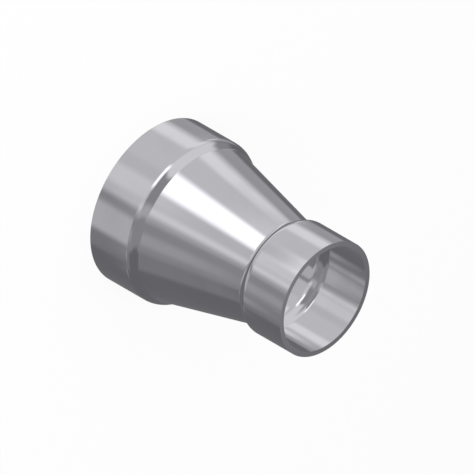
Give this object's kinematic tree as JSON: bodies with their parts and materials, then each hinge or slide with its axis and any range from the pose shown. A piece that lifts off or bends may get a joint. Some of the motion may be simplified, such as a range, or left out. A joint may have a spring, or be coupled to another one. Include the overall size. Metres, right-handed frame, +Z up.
{
  "type": "duct reducer",
  "caption": "Round steel duct reducer with a wide socket at its foot, a stepped cone and a narrow socket on top, open from end to end.",
  "frame": {"origin": "centre of the wide rim, on the plane that the reducer stands on", "axes": "+Z up the axis, from the wide rim to the narrow rim; the body is round, so +X and +Y may be any two directions across it"},
  "size_m": [0.0956, 0.0956, 0.127],
  "materials": {
    "polished_steel": "smooth satin polish, bare and uncoated"
  },
  "bodies": {
    "root": {"reducer_body": "polished_steel"}
  },
  "joints": []
}
